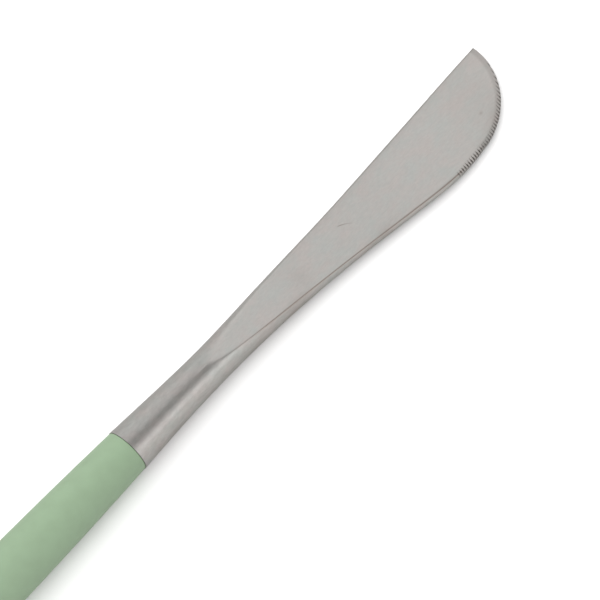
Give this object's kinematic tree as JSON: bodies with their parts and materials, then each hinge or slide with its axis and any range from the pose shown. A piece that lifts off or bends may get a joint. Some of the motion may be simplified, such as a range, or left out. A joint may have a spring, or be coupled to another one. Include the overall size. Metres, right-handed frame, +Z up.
{
  "type": "sculpting spatula",
  "caption": "Hand sculpting spatula: flat steel blade with a straight spine, curved belly and file-cut nose, on a slim round handle.",
  "frame": {"origin": "bottom centre of the bounding box of the tool as it lies on a bench, bench at Z = 0", "axes": "+X from the handle tail towards the blade tip, +Z up from the bench, +Y towards the straight spine of the blade"},
  "size_m": [0.203, 0.015, 0.0121],
  "materials": {
    "blade": "fine satin ground stainless steel, the forged neck a shade darker than the ground blade",
    "handle": "smooth satin pale green",
    "tang_adhesive": "cured epoxy, hidden inside the handle"
  },
  "bodies": {
    "root": {"blade": "blade", "handle": "handle", "tang_adhesive": "tang_adhesive"}
  },
  "joints": []
}
